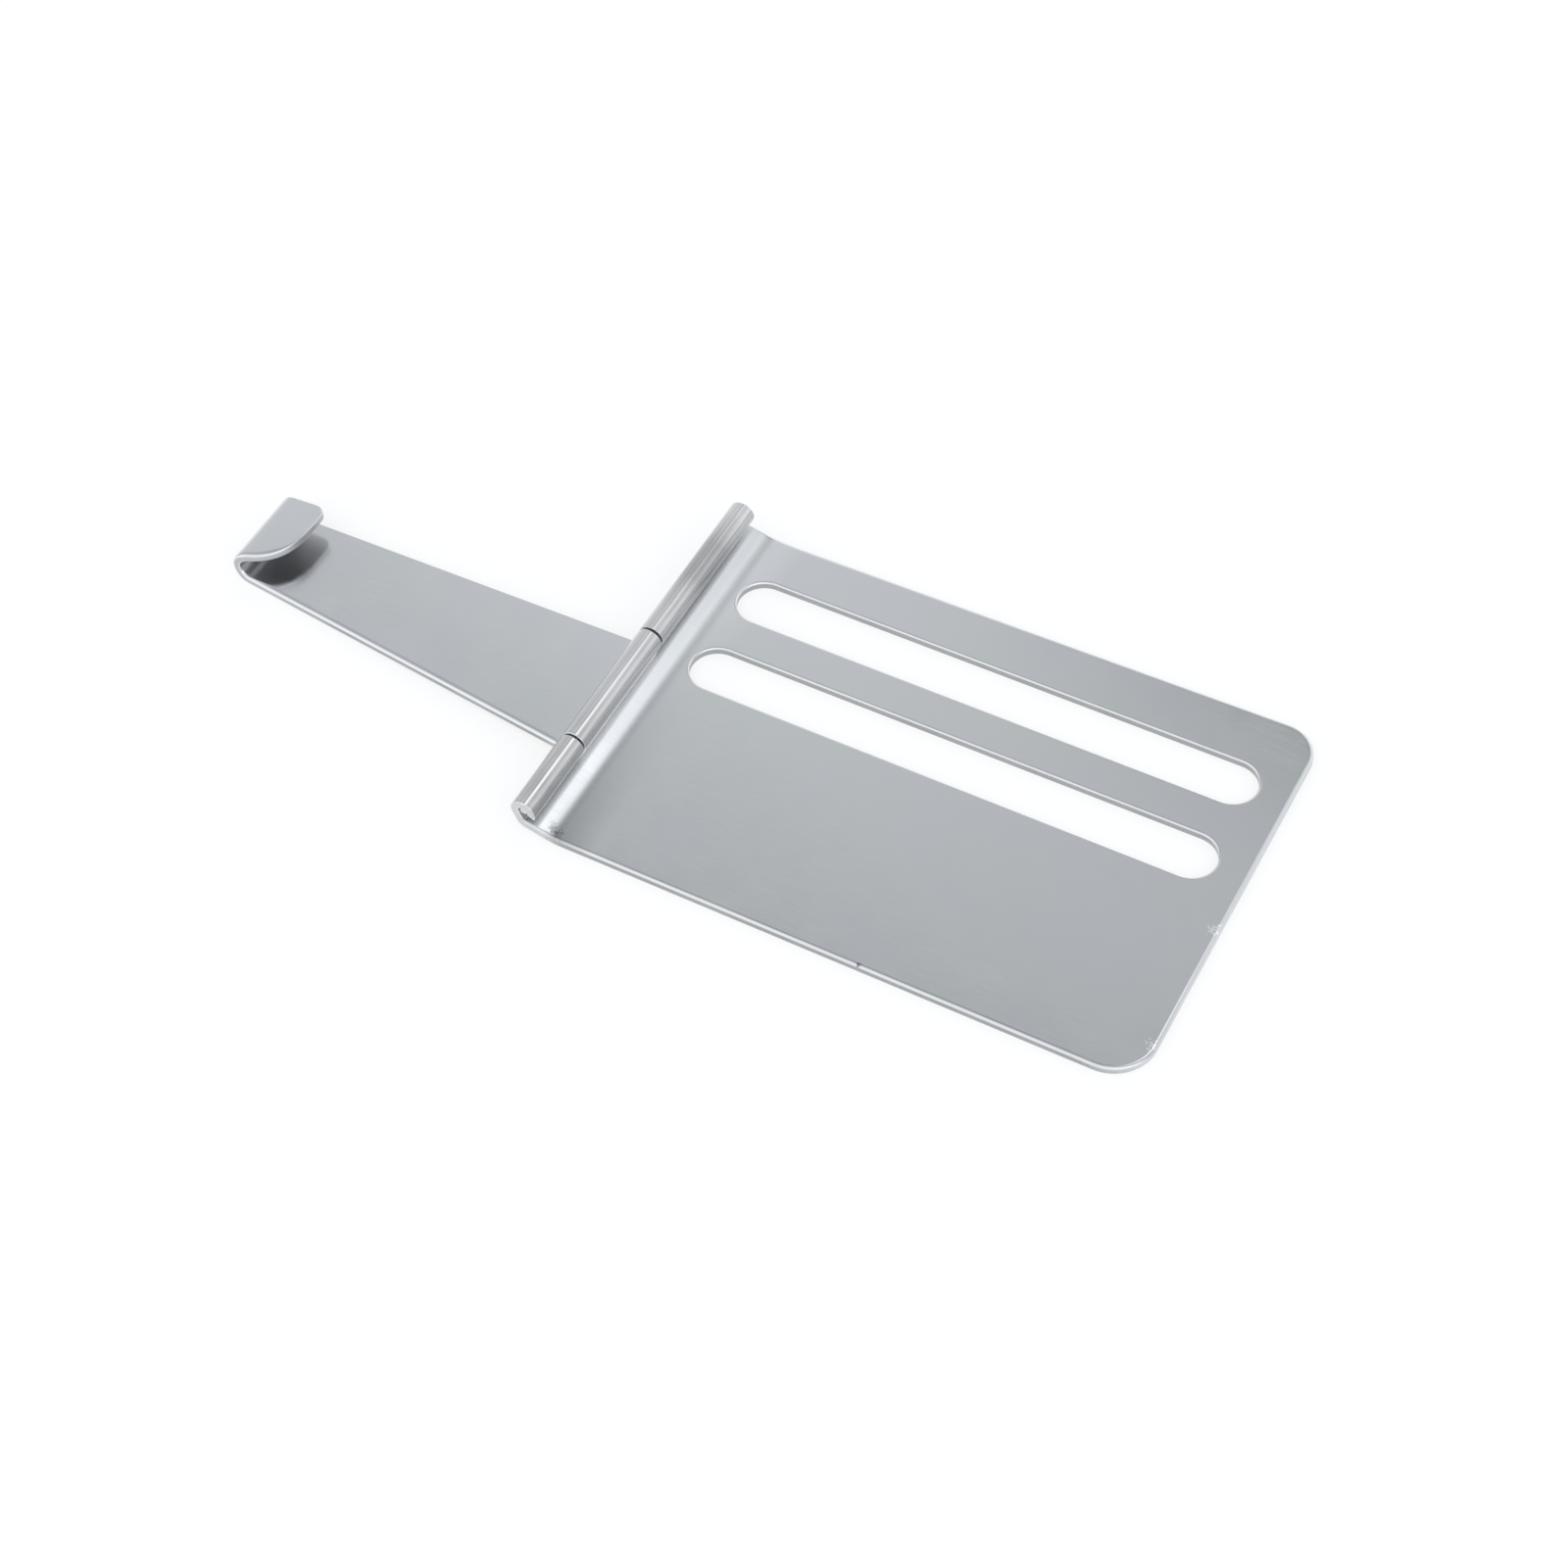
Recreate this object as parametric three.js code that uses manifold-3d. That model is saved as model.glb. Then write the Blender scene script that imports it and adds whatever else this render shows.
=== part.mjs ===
import * as THREE from 'three';
import { mergeVertices } from 'three/addons/utils/BufferGeometryUtils.js';
import Module from 'manifold-3d';

// Hinged seam guide for a sewing machine bed, in millimetres.
// The origin is on the underside of the slotted plate, at the middle of the web between its slots.
// +X runs from the hinge to the plate's free end, +Y along the hinge and +Z up from the machine bed.

// Sheet and hinge pin
const SHEET = 0.8;
const PIN_DIAMETER = 0.82;
const PIN_CLEARANCE = 0.04;
const PIN_INSET = 0.1;
const HINGE_HEIGHT = 2.9;

// Curls that hold the pin: how far the free end wraps below the pin's middle, the straight leg behind
// the pin, which slants in under it, and the bend at the leg's foot
const PLATE_CURL_WRAP = THREE.MathUtils.degToRad(40);
const PLATE_LEG_SLANT = THREE.MathUtils.degToRad(20);
const PLATE_LEG_LENGTH = 1.07;
const ARM_CURL_WRAP = THREE.MathUtils.degToRad(25);
const ARM_LEG_SLANT = THREE.MathUtils.degToRad(45);
const ARM_LEG_LENGTH = 0.94;
const LOWER_BEND_RADIUS = 0.3;

// Ramp that lifts the plate's sheet to its curls
const RAMP_ANGLE = THREE.MathUtils.degToRad(15);
const RAMP_BEND_RADIUS = 6;

// Slots for the two fixing screws
const SLOT_WIDTH = 5;
const SLOT_LENGTH = 52;
const SLOT_PITCH = 9.1;

// Sheet left round the slots: the plate's far edge runs out slightly towards its free end
const HINGE_MARGIN = 3.75;
const END_MARGIN = 3.05;
const NEAR_MARGIN = 21.15;
const FAR_MARGIN_AT_HINGE = 5.05;
const FAR_MARGIN_AT_END = 5.9;
const NEAR_CORNER_RADIUS = 4.1;
const FAR_CORNER_RADIUS = 3.45;

// Knuckles along the hinge. The notch that frees the arm's knuckle reaches this far past the hinge
// line, so its edge lies under the barrel.
const NEAR_KNUCKLE_LENGTH = 8.55;
const ARM_KNUCKLE_LENGTH = 13.78;
const KNUCKLE_GAP = 0.25;
const NOTCH_REACH = 0.6;

// Arm and its hooked tip. The flap's near edge sweeps round into its free edge, and the fullness
// is how near that sweep stays to a square corner.
const ARM_LENGTH = 40.5;
const ARM_TIP_WIDTH = 8.73;
const HOOK_BEND_RADIUS = 0.85;
const FLAP_LENGTH = 5.3;
const FLAP_RISE = THREE.MathUtils.degToRad(5);
const FLAP_CORNER_RADIUS = 1.2;
const FLAP_SWEEP_WIDTH = 5.75;
const FLAP_SWEEP_FULLNESS = 0.64;

// Facets on bends and round corners
const BEND_STEP = THREE.MathUtils.degToRad(7.5);
const ARC_POINTS = 12;

// Places that follow from the sizes above
const CURL_RADIUS = PIN_DIAMETER / 2 + PIN_CLEARANCE;
const CURL_OUTSIDE = CURL_RADIUS + SHEET;
const HINGE_X = -SLOT_LENGTH / 2 - HINGE_MARGIN;
const END_X = SLOT_LENGTH / 2 + END_MARGIN;
const SLOT_REACH = (SLOT_PITCH + SLOT_WIDTH) / 2;
const NEAR_Y = -SLOT_REACH - NEAR_MARGIN;
const FAR_Y_AT_HINGE = SLOT_REACH + FAR_MARGIN_AT_HINGE;
const FAR_Y_AT_END = SLOT_REACH + FAR_MARGIN_AT_END;
const ARM_NEAR_Y = NEAR_Y + NEAR_KNUCKLE_LENGTH + KNUCKLE_GAP;
const ARM_FAR_Y = ARM_NEAR_Y + ARM_KNUCKLE_LENGTH;
const NOTCH_NEAR_Y = ARM_NEAR_Y - KNUCKLE_GAP;
const NOTCH_FAR_Y = ARM_FAR_Y + KNUCKLE_GAP;
const ARM_ROOT_X = HINGE_X - CURL_OUTSIDE - KNUCKLE_GAP;
const HOOK_OUTSIDE = HOOK_BEND_RADIUS + SHEET;
const TIP_X = HINGE_X - ARM_LENGTH;

// Trimming solids reach this far past the sheet on every side
const SPARE = 3;
const TOP_Z = HINGE_HEIGHT + CURL_OUTSIDE + SPARE;
const BEHIND_BARREL_X = HINGE_X - CURL_OUTSIDE - SPARE;
const BEFORE_BARREL_X = HINGE_X + CURL_OUTSIDE + SPARE;

const wasm = await Module();
wasm.setup();

const stainless = new THREE.MeshStandardMaterial({ color: 0xb7b9bc, roughness: 0.36, metalness: 1 });
const wire = new THREE.MeshStandardMaterial({ color: 0xc9cacc, roughness: 0.3, metalness: 1 });

function toSolid(geometry) {
  const bare = new THREE.BufferGeometry();
  bare.setAttribute('position', geometry.getAttribute('position'));
  if (geometry.index) {
    bare.setIndex(geometry.index);
  }
  const merged = mergeVertices(bare, 1e-5);
  const vertProperties = new Float32Array(merged.getAttribute('position').array);
  const triVerts = new Uint32Array(merged.index.array);
  return new wasm.Manifold(new wasm.Mesh({ numProp: 3, vertProperties, triVerts }));
}

function toMesh(solid, name, material) {
  const cut = solid.getMesh();
  const geometry = new THREE.BufferGeometry();
  geometry.setAttribute('position', new THREE.BufferAttribute(new Float32Array(cut.vertProperties), 3));
  geometry.setIndex(Array.from(cut.triVerts));
  geometry.computeVertexNormals();
  const mesh = new THREE.Mesh(geometry, material);
  mesh.name = name;
  return mesh;
}

// Side view of a bent strip. It follows the sheet's middle from a start point and heading, and every
// bend turns left by its angle about its inner radius.
function bentStrip(start, startHeading, steps) {
  const place = start.clone();
  const innerFace = [];
  const outerFace = [];
  let heading = startHeading;

  function mark() {
    const half = new THREE.Vector2(-Math.sin(heading), Math.cos(heading)).multiplyScalar(SHEET / 2);
    innerFace.push(place.clone().add(half));
    outerFace.push(place.clone().sub(half));
  }

  function advance(length, direction) {
    place.x += length * Math.cos(direction);
    place.y += length * Math.sin(direction);
  }

  mark();
  for (const step of steps) {
    if (step.flat !== undefined) {
      advance(step.flat, heading);
      mark();
      continue;
    }
    const count = Math.max(1, Math.ceil(step.turn / BEND_STEP));
    const turn = step.turn / count;
    const chord = 2 * (step.radius + SHEET / 2) * Math.sin(turn / 2);
    for (let i = 0; i < count; i += 1) {
      advance(chord, heading + turn / 2);
      heading += turn;
      mark();
    }
  }
  return innerFace.concat(outerFace.reverse());
}

// Every leaf starts as a curl round the pin: from its free end, over the top and down the back, on
// along its slanted leg and round the lower bend to its `heading`. `steps` go on from there, with the
// leaf's end at positive u.
function leafOutline(wrap, slant, leg, heading, steps) {
  const middle = CURL_RADIUS + SHEET / 2;
  const start = new THREE.Vector2(middle * Math.cos(wrap), HINGE_HEIGHT - middle * Math.sin(wrap));
  return bentStrip(start, Math.PI / 2 - wrap, [
    { turn: Math.PI + wrap + slant, radius: CURL_RADIUS },
    { flat: leg },
    { turn: Math.PI / 2 - slant + heading, radius: LOWER_BEND_RADIUS },
    ...steps,
  ]);
}

function lowerBendCentre(slant, leg) {
  const inset = LOWER_BEND_RADIUS - CURL_RADIUS;
  return new THREE.Vector2(
    leg * Math.sin(slant) + inset * Math.cos(slant),
    HINGE_HEIGHT + inset * Math.sin(slant) - leg * Math.cos(slant),
  );
}

// Extrudes a side view along +Y between two places. `side` is 1 for a leaf that runs to +X from the
// hinge and -1 for one that runs to -X.
function extrudeAcross(outline, side, fromY, toY) {
  const shape = new THREE.Shape(outline.map((p) => new THREE.Vector2(HINGE_X + side * p.x, p.y)));
  const geometry = new THREE.ExtrudeGeometry(shape, { depth: toY - fromY, bevelEnabled: false });
  geometry.rotateX(Math.PI / 2);
  geometry.translate(0, toY, 0);
  return toSolid(geometry);
}

function extrudeUp(shape, fromZ, toZ) {
  const options = { depth: toZ - fromZ, bevelEnabled: false, curveSegments: ARC_POINTS };
  const geometry = new THREE.ExtrudeGeometry(shape, options);
  geometry.translate(0, 0, fromZ);
  return toSolid(geometry);
}

// Plan outline with corners given as [x, y, radius], in anticlockwise order.
function roundedOutline(corners) {
  const shape = new THREE.Shape();
  corners.forEach(([x, y, radius], i) => {
    const [beforeX, beforeY] = corners[(i + corners.length - 1) % corners.length];
    const [afterX, afterY] = corners[(i + 1) % corners.length];
    const corner = new THREE.Vector2(x, y);
    const back = new THREE.Vector2(beforeX - x, beforeY - y).normalize();
    const on = new THREE.Vector2(afterX - x, afterY - y).normalize();
    const half = Math.acos(THREE.MathUtils.clamp(back.dot(on), -1, 1)) / 2;
    const points = [];
    if (radius > 0) {
      const first = corner.clone().addScaledVector(back, radius / Math.tan(half));
      const centre = corner.clone().addScaledVector(back.clone().add(on).normalize(), radius / Math.sin(half));
      const from = first.clone().sub(centre).angle();
      const turn = Math.PI - 2 * half;
      for (let k = 0; k <= ARC_POINTS; k += 1) {
        const angle = from + (turn * k) / ARC_POINTS;
        points.push(new THREE.Vector2(Math.cos(angle), Math.sin(angle)).multiplyScalar(radius).add(centre));
      }
    } else {
      points.push(corner);
    }
    points.forEach((p, k) => {
      if (i === 0 && k === 0) {
        shape.moveTo(p.x, p.y);
      } else {
        shape.lineTo(p.x, p.y);
      }
    });
  });
  shape.closePath();
  return shape;
}

function slotHole(centreY) {
  const radius = SLOT_WIDTH / 2;
  const reach = SLOT_LENGTH / 2 - radius;
  const hole = new THREE.Path();
  hole.absarc(reach, centreY, radius, -Math.PI / 2, Math.PI / 2, false);
  hole.absarc(-reach, centreY, radius, Math.PI / 2, (3 * Math.PI) / 2, false);
  hole.closePath();
  return hole;
}

function platePlan() {
  const notchX = HINGE_X + NOTCH_REACH;
  const farSlope = (FAR_Y_AT_END - FAR_Y_AT_HINGE) / (END_X - HINGE_X);
  const shape = roundedOutline([
    [BEHIND_BARREL_X, NEAR_Y, 0],
    [END_X, NEAR_Y, NEAR_CORNER_RADIUS],
    [END_X, FAR_Y_AT_END, FAR_CORNER_RADIUS],
    [BEHIND_BARREL_X, FAR_Y_AT_HINGE + farSlope * (BEHIND_BARREL_X - HINGE_X), 0],
    [BEHIND_BARREL_X, NOTCH_FAR_Y, 0],
    [notchX, NOTCH_FAR_Y, 0],
    [notchX, NOTCH_NEAR_Y, 0],
    [BEHIND_BARREL_X, NOTCH_NEAR_Y, 0],
  ]);
  shape.holes.push(slotHole(SLOT_PITCH / 2), slotHole(-SLOT_PITCH / 2));
  return shape;
}

// Room over the ramp for the arm's knuckle, which clears away the plate's curl there.
function knuckleRoom() {
  const plan = roundedOutline([
    [BEHIND_BARREL_X, NOTCH_NEAR_Y, 0],
    [BEFORE_BARREL_X, NOTCH_NEAR_Y, 0],
    [BEFORE_BARREL_X, NOTCH_FAR_Y, 0],
    [BEHIND_BARREL_X, NOTCH_FAR_Y, 0],
  ]);
  return extrudeUp(plan, HINGE_HEIGHT - CURL_OUTSIDE, TOP_Z);
}

function basePlate() {
  const bend = LOWER_BEND_RADIUS + SHEET / 2;
  const rampBend = RAMP_BEND_RADIUS + SHEET / 2;
  const bendEnd = lowerBendCentre(PLATE_LEG_SLANT, PLATE_LEG_LENGTH).y - bend * Math.cos(RAMP_ANGLE);
  const rampFall = bendEnd - rampBend * (1 - Math.cos(RAMP_ANGLE)) - SHEET / 2;
  const outline = leafOutline(PLATE_CURL_WRAP, PLATE_LEG_SLANT, PLATE_LEG_LENGTH, -RAMP_ANGLE, [
    { flat: rampFall / Math.sin(RAMP_ANGLE) },
    { turn: RAMP_ANGLE, radius: RAMP_BEND_RADIUS },
    { flat: END_X - HINGE_X + SPARE },
  ]);
  const strip = extrudeAcross(outline, 1, NEAR_Y - SPARE, FAR_Y_AT_END + SPARE);
  const plan = extrudeUp(platePlan(), -SPARE, TOP_Z);
  return toMesh(strip.intersect(plan).subtract(knuckleRoom()), 'base_plate', stainless);
}

// The arm is straight between two bends: the one below the pin and the one of the hook, which rests on
// the machine bed.
function armLine() {
  const bendCentre = lowerBendCentre(ARM_LEG_SLANT, ARM_LEG_LENGTH);
  const hookCentre = new THREE.Vector2(ARM_LENGTH - HOOK_OUTSIDE, HOOK_OUTSIDE);
  const between = hookCentre.clone().sub(bendCentre);
  const swing = Math.asin((HOOK_BEND_RADIUS - LOWER_BEND_RADIUS) / between.length());
  return { angle: Math.atan2(between.y, between.x) - swing, length: between.length() * Math.cos(swing) };
}

// The arm's near edge starts beside the barrel and slants, so the arm gets narrower towards its tip.
function armNearEdge(x) {
  return THREE.MathUtils.mapLinear(x, ARM_ROOT_X, TIP_X, ARM_NEAR_Y, ARM_FAR_Y - ARM_TIP_WIDTH);
}

function armPlan() {
  return roundedOutline([
    [TIP_X - SPARE, armNearEdge(TIP_X - SPARE), 0],
    [ARM_ROOT_X, ARM_NEAR_Y, 0],
    [BEFORE_BARREL_X, ARM_NEAR_Y, 0],
    [BEFORE_BARREL_X, ARM_FAR_Y, 0],
    [TIP_X - SPARE, ARM_FAR_Y, 0],
  ]);
}

// The flap of the hook starts at the tip, as wide as the arm there. Its near edge goes on round the
// fold at the same slant and sweeps into the free edge, which has a small corner at the far side.
function flapPlan() {
  const pull = FLAP_LENGTH * FLAP_SWEEP_FULLNESS;
  const nearY = armNearEdge(TIP_X);
  const slantY = nearY + nearY - armNearEdge(TIP_X + pull);
  const freeX = TIP_X + FLAP_LENGTH;
  const sweepY = nearY + FLAP_SWEEP_WIDTH;
  const pullY = sweepY - FLAP_SWEEP_WIDTH * FLAP_SWEEP_FULLNESS;
  const corner = FLAP_CORNER_RADIUS;
  const shape = new THREE.Shape();
  shape.moveTo(TIP_X, nearY);
  shape.bezierCurveTo(TIP_X + pull, slantY, freeX, pullY, freeX, sweepY);
  shape.absarc(freeX - corner, ARM_FAR_Y - corner, corner, 0, Math.PI / 2, false);
  shape.lineTo(freeX - corner, ARM_FAR_Y + SPARE);
  shape.lineTo(TIP_X - SPARE, ARM_FAR_Y + SPARE);
  shape.lineTo(TIP_X - SPARE, nearY);
  shape.closePath();
  return shape;
}

function flapTrim() {
  const upper = roundedOutline([
    [TIP_X - 2 * SPARE, ARM_NEAR_Y - 2 * SPARE, 0],
    [TIP_X + FLAP_LENGTH + 2 * SPARE, ARM_NEAR_Y - 2 * SPARE, 0],
    [TIP_X + FLAP_LENGTH + 2 * SPARE, ARM_FAR_Y + 2 * SPARE, 0],
    [TIP_X - 2 * SPARE, ARM_FAR_Y + 2 * SPARE, 0],
  ]);
  const kept = extrudeUp(flapPlan(), -SPARE, TOP_Z + SPARE);
  return extrudeUp(upper, HOOK_OUTSIDE, TOP_Z).subtract(kept);
}

function guideArm() {
  const line = armLine();
  const outline = leafOutline(ARM_CURL_WRAP, ARM_LEG_SLANT, ARM_LEG_LENGTH, line.angle, [
    { flat: line.length },
    { turn: Math.PI - FLAP_RISE - line.angle, radius: HOOK_BEND_RADIUS },
    { flat: FLAP_LENGTH + SPARE },
  ]);
  const strip = extrudeAcross(outline, -1, ARM_NEAR_Y - SPARE, ARM_FAR_Y + SPARE);
  const blank = strip.intersect(extrudeUp(armPlan(), -SPARE, TOP_Z));
  return toMesh(blank.subtract(flapTrim()), 'guide_arm', stainless);
}

function hingePin() {
  const length = FAR_Y_AT_HINGE - NEAR_Y - 2 * PIN_INSET;
  const radius = PIN_DIAMETER / 2;
  const geometry = new THREE.CylinderGeometry(radius, radius, length, (4 * Math.PI) / (2 * BEND_STEP));
  const pin = new THREE.Mesh(geometry, wire);
  pin.name = 'hinge_pin';
  pin.position.set(HINGE_X, (NEAR_Y + FAR_Y_AT_HINGE) / 2, HINGE_HEIGHT);
  return pin;
}

const seamGuide = new THREE.Group();
seamGuide.add(basePlate(), guideArm(), hingePin());

export default seamGuide;
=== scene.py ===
import math

import bpy
import numpy as np
from mathutils import Matrix, Vector
from mathutils.geometry import area_tri, delaunay_2d_cdt


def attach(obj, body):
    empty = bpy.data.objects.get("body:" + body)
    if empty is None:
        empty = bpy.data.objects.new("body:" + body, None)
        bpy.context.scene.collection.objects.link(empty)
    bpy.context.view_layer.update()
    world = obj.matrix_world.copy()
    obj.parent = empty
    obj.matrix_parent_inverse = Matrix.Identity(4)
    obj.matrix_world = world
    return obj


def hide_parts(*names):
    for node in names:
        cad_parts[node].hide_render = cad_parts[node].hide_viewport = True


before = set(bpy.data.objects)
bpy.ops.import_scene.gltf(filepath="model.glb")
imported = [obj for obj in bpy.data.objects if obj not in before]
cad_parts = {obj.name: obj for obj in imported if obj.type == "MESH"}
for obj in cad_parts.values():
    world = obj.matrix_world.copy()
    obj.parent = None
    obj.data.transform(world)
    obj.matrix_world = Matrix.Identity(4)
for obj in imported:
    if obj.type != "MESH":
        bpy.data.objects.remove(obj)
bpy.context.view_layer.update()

# Lengths below are in millimetres unless their name ends in _m, and MM turns them into metres.
MM = 0.001
DEGREE = math.radians(1)

# Sheet, pin and hinge, as in the CAD source
SHEET = 0.8
PIN_DIAMETER = 0.82
PIN_CLEARANCE = 0.04
PIN_INSET = 0.1
HINGE_HEIGHT = 2.9
PLATE_CURL_WRAP = math.radians(40)
PLATE_LEG_SLANT = math.radians(20)
PLATE_LEG_LENGTH = 1.07
ARM_CURL_WRAP = math.radians(25)
ARM_LEG_SLANT = math.radians(45)
ARM_LEG_LENGTH = 0.94
LOWER_BEND_RADIUS = 0.3
RAMP_ANGLE = math.radians(15)
RAMP_BEND_RADIUS = 6

# Plate
SLOT_WIDTH = 5
SLOT_LENGTH = 52
SLOT_PITCH = 9.1
HINGE_MARGIN = 3.75
END_MARGIN = 3.05
NEAR_MARGIN = 21.15
FAR_MARGIN_AT_HINGE = 5.05
FAR_MARGIN_AT_END = 5.9
NEAR_CORNER_RADIUS = 4.1
FAR_CORNER_RADIUS = 3.45
NEAR_KNUCKLE_LENGTH = 8.55
ARM_KNUCKLE_LENGTH = 13.78
KNUCKLE_GAP = 0.25
NOTCH_REACH = 0.6

# Arm and hook
ARM_LENGTH = 40.5
ARM_TIP_WIDTH = 8.73
HOOK_BEND_RADIUS = 0.85
FLAP_LENGTH = 5.3
FLAP_RISE = math.radians(5)
FLAP_CORNER_RADIUS = 1.2
FLAP_SWEEP_WIDTH = 5.75
FLAP_SWEEP_FULLNESS = 0.64

# Places that follow from those sizes
HALF = SHEET / 2
CURL_MIDDLE = PIN_DIAMETER / 2 + PIN_CLEARANCE + HALF
CURL_OUTSIDE = CURL_MIDDLE + HALF
HINGE_X = -SLOT_LENGTH / 2 - HINGE_MARGIN
END_X = SLOT_LENGTH / 2 + END_MARGIN
SLOT_REACH = (SLOT_PITCH + SLOT_WIDTH) / 2
NEAR_Y = -SLOT_REACH - NEAR_MARGIN
FAR_Y_AT_HINGE = SLOT_REACH + FAR_MARGIN_AT_HINGE
FAR_Y_AT_END = SLOT_REACH + FAR_MARGIN_AT_END
ARM_NEAR_Y = NEAR_Y + NEAR_KNUCKLE_LENGTH + KNUCKLE_GAP
ARM_FAR_Y = ARM_NEAR_Y + ARM_KNUCKLE_LENGTH
ARM_ROOT_X = HINGE_X - CURL_OUTSIDE - KNUCKLE_GAP
TIP_X = HINGE_X - ARM_LENGTH
HOOK_OUTSIDE = HOOK_BEND_RADIUS + SHEET

# Edge rounding that the stamped sheet has and the CAD solids leave out, as (width, depth)
PLATE_ARRIS = (0.36, 0.2)
ARM_ARRIS = (0.5, 0.22)
SLOT_ARRIS = (0.22, 0.16)
SMALL_ARRIS = (0.12, 0.12)
UNDER_ARRIS = (0.07, 0.07)

# Small ways in which the photographed piece strays from its plan: flares, the distances from the hinge
# between which the far edge's fades out, and where along the edges they are followed
FAR_EDGE_FLARE = 0.2
FAR_FLARE_FADE = (2, 6.5)
FAR_FLARE_X = (-22.5, -23.5, -24.5, -25.3)
FAR_KNUCKLE_FLARE = 0.1
ARM_ROOT_FLARE = 0.1
ARM_FLARE_STEPS = (0.5, 1)

# Corners that are square in the CAD solids. The pin's end is given as (share of its radius, depth).
SHARP_CORNER = 0.3
NOTCH_FILLET = 0.3
PIN_END = [(0.45, 0.006), (0.75, 0.025), (0.92, 0.06), (1, 0.13)]

# Lengths of sheet over which one arris goes over into the next
RAMP_ARRIS_EASE = 0.5
ARM_ARRIS_EASE = 0.8
FLAP_ARRIS_EASE = 1.5

# Fineness of the meshes
EDGE_SUPPORT = 0.05
ROUND_STEPS = 7
BEND_STEP = math.radians(5)
CORNER_POINTS = 9
PLATE_CORNER_POINTS = 19
FLAP_CORNER_POINTS = 15
SLOT_END_POINTS = 25
EASING_STATIONS = 9
FOLD_STATIONS = 37
SWEEP_POINTS = 41
SWEEP_HALVINGS = 40
PIN_SIDES = 48

# Small distances in the flat patterns, and any length along an edge that leaves a knuckle's free end,
# which gives that edge's direction
EASING_TO_SLOT = 0.04
SWEEP_TO_FOLD = 0.08
NOTCH_SLACK = 0.1
CORNER_SLACK = 0.01
MERGE_DISTANCE = 1e-7
EMPTY_AREA = 1e-6
ONWARD = 5

# Materials of a sheet's faces, by number
FACE, SHEARED_SHADED, BARREL, INSIDE = range(4)


class Strip:
    """Middle line of a bent sheet in side view: u runs away from the hinge and z up."""

    def __init__(self, u, z, heading):
        self.parts = []
        self.end = (u, z, heading)
        self.length = 0.0

    def flat(self, length):
        u, z, heading = self.end
        self.parts.append((self.length, u, z, heading, None))
        self.length += length
        self.end = (u + length * math.cos(heading), z + length * math.sin(heading), heading)
        return self

    def bend(self, inner_radius, angle):
        u, z, heading = self.end
        radius = inner_radius + HALF
        self.parts.append((self.length, u, z, heading, radius))
        self.length += radius * angle
        turned = heading + angle
        self.end = (
            u + radius * (math.sin(turned) - math.sin(heading)),
            z - radius * (math.cos(turned) - math.cos(heading)),
            turned,
        )
        return self

    def at(self, s):
        part = self.parts[0]
        for candidate in self.parts:
            if candidate[0] <= s:
                part = candidate
        start, u, z, heading, radius = part
        along = s - start
        if radius is None:
            return u + along * math.cos(heading), z + along * math.sin(heading), heading
        turned = heading + along / radius
        return (
            u + radius * (math.sin(turned) - math.sin(heading)),
            z - radius * (math.cos(turned) - math.cos(heading)),
            turned,
        )


def curl_strip(wrap, slant, leg):
    """Every leaf starts at the free end of its curl, goes over the pin and down its back, where its
    leg slants in under the pin."""
    strip = Strip(
        CURL_MIDDLE * math.cos(wrap),
        HINGE_HEIGHT - CURL_MIDDLE * math.sin(wrap),
        math.pi / 2 - wrap,
    )
    strip.bend(CURL_MIDDLE - HALF, math.pi + wrap + slant)
    return strip.flat(leg)


def lower_bend_centre(slant, leg):
    inset = LOWER_BEND_RADIUS + HALF - CURL_MIDDLE
    return Vector((
        leg * math.sin(slant) + inset * math.cos(slant),
        HINGE_HEIGHT + inset * math.sin(slant) - leg * math.cos(slant),
    ))


def arc_points(cx, cy, radius, start, stop, count):
    angles = np.linspace(start, stop, count)
    return [(cx + radius * math.cos(a), cy + radius * math.sin(a)) for a in angles]


def rounded_corner(before, corner, after, radius, count=CORNER_POINTS):
    """Points of a corner's arc between the two straight edges that meet there."""
    c = Vector(corner)
    back = (Vector(before) - c).normalized()
    on = (Vector(after) - c).normalized()
    half = math.acos(max(-1, min(1, back.dot(on)))) / 2
    first = c + back * (radius / math.tan(half))
    last = c + on * (radius / math.tan(half))
    centre = c + (back + on).normalized() * (radius / math.sin(half))
    a, b = first - centre, last - centre
    turn = math.atan2(a.x * b.y - a.y * b.x, a.dot(b))
    points = []
    for k in range(count):
        angle = turn * k / (count - 1)
        spun = Vector((
            a.x * math.cos(angle) - a.y * math.sin(angle),
            a.x * math.sin(angle) + a.y * math.cos(angle),
        ))
        points.append(tuple(centre + spun))
    return points


def inward(points):
    """Mitred normals of a closed loop, pointing to the sheet at its left."""
    p = np.array(points, float)
    ahead = np.roll(p, -1, axis=0) - p
    ahead /= np.linalg.norm(ahead, axis=1)[:, None]
    left = np.stack([-ahead[:, 1], ahead[:, 0]], axis=1)
    before = np.roll(left, 1, axis=0)
    total = left + before
    return total / (1 + (left * before).sum(axis=1))[:, None]


def inside(point, loop):
    x, y = point
    hit = False
    for (x0, y0), (x1, y1) in zip(loop, np.roll(loop, -1, axis=0)):
        if (y0 > y) != (y1 > y) and x < x0 + (x1 - x0) * (y - y0) / (y1 - y0):
            hit = not hit
    return hit


def arris_rows(arris):
    """Rows of an elliptic arris (width, depth), as (offset into the sheet, depth below its face)."""
    width, depth = arris
    angles = [math.pi / 2 * k / ROUND_STEPS for k in range(ROUND_STEPS + 1)]
    return [(width * (1 - math.sin(a)), depth * (1 - math.cos(a))) for a in angles]


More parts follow.
